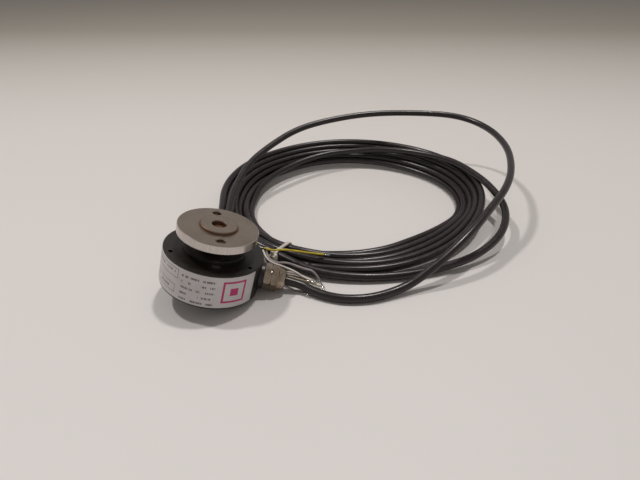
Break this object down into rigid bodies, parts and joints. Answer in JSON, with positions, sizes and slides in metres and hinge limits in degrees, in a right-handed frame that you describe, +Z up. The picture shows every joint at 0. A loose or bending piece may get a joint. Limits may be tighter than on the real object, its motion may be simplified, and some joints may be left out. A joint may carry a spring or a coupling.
{
  "type": "rotary encoder",
  "caption": "Round-bodied shaft encoder with a flanged drive disc on its shaft, a side cable gland and a long cable wound in a tied coil with loose stripped cores.",
  "frame": {"origin": "on the table surface, at the bottom centre of the encoder's bounding box without its loose cable", "axes": "+Z is up from the table, +X is the direction from the housing to the cable gland, and the cable coil lies on the +Y side. As the stiff cable holds it, the encoder leans 14.6 degrees, so its shaft points along (0.247, 0.052, 0.968); the rim of its rear face and its rear bearing boss touch the table"},
  "size_m": [0.2526, 0.2713, 0.0534],
  "materials": {
    "black_anodised": "black anodised, satin",
    "label_film": "pale grey printed polyester film",
    "disc_steel": "turned and ground, slightly tarnished",
    "shaft_steel": "ground",
    "bearing_steel": "polished",
    "cage_brass": "satin",
    "spring_steel": "phosphated",
    "seal_rubber": "matt",
    "screw_steel": "zinc plated",
    "board_laminate": "solder mask",
    "chip_epoxy": "moulded",
    "chip_ceramic": "sintered",
    "optic_glass": "polished",
    "bracket_plastic": "moulded",
    "led_resin": "clear cast resin",
    "tinned_wire": "tinned copper",
    "terminal_plastic": "moulded",
    "nickel_brass": "nickel-plated brass, satin",
    "gland_nylon": "moulded nylon",
    "cable_jacket": "extruded PVC, satin",
    "tie_nylon": "natural nylon",
    "core_yellow": "extruded PVC",
    "core_white": "extruded PVC",
    "core_grey": "extruded PVC",
    "core_pink": "extruded PVC",
    "core_brown": "extruded PVC",
    "core_cream": "extruded PVC",
    "core_green": "extruded PVC"
  },
  "bodies": {
    "stator": {"rear_housing": "black_anodised", "front_flange": "black_anodised", "label": "label_film", "housing_screws": "screw_steel", "front_outer_ring": "bearing_steel", "rear_outer_ring": "bearing_steel", "preload_washer": "spring_steel", "bearing_circlip": "spring_steel", "shaft_seal": "seal_rubber", "circuit_board": "board_laminate", "board_screws": "screw_steel", "signal_chips": "chip_epoxy", "small_components": "chip_ceramic", "photo_detector": "chip_epoxy", "reticle": "optic_glass", "led_bracket": "bracket_plastic", "bracket_screws": "screw_steel", "led_emitter": "led_resin", "led_leads": "tinned_wire", "terminal_block": "terminal_plastic", "inner_cores": "core_white", "gland_gasket": "seal_rubber", "gland_body": "nickel_brass", "gland_seal": "seal_rubber", "gland_claw": "gland_nylon", "gland_nut": "nickel_brass", "cable_in_gland": "cable_jacket", "cable_lead": "cable_jacket", "cable_coil": "cable_jacket", "cable_tail": "cable_jacket", "cable_tie": "tie_nylon", "core_yellow": "core_yellow", "core_white": "core_white", "core_grey": "core_grey", "core_pink": "core_pink", "core_brown": "core_brown", "core_cream": "core_cream", "core_green": "core_green", "core_tips": "tinned_wire", "drain_wire": "tinned_wire"},
    "rotor": {"shaft": "shaft_steel", "drive_disc": "disc_steel", "set_screws": "spring_steel", "code_hub": "cage_brass", "hub_set_screw": "screw_steel", "code_disc": "optic_glass", "clamp_ring": "cage_brass", "clamp_screws": "screw_steel", "front_inner_ring": "bearing_steel", "rear_inner_ring": "bearing_steel", "bearing_spacer": "shaft_steel", "shaft_circlip": "spring_steel"},
    "front_ball_set": {"front_cage": "cage_brass", "front_balls": "bearing_steel"},
    "rear_ball_set": {"rear_cage": "cage_brass", "rear_balls": "bearing_steel"}
  },
  "joints": [
    {"name": "shaft_spin", "type": "hinge", "parent": "stator", "child": "rotor", "pos_m": [-0.00185, 0.00106, 0.03634], "axis": [0.2466, 0.0524, 0.9677], "continuous": true},
    {"name": "front_balls_spin", "type": "hinge", "parent": "stator", "child": "front_ball_set", "pos_m": [-0.00481, 0.00043, 0.02473], "axis": [0.2466, 0.0524, 0.9677], "continuous": true},
    {"name": "rear_balls_spin", "type": "hinge", "parent": "stator", "child": "rear_ball_set", "pos_m": [-0.00942, -0.00055, 0.00663], "axis": [0.2466, 0.0524, 0.9677], "continuous": true}
  ],
  "couplings": [
    {"joint": "front_balls_spin", "follows": "shaft_spin", "ratio": 0.39583},
    {"joint": "rear_balls_spin", "follows": "shaft_spin", "ratio": 0.39583}
  ]
}
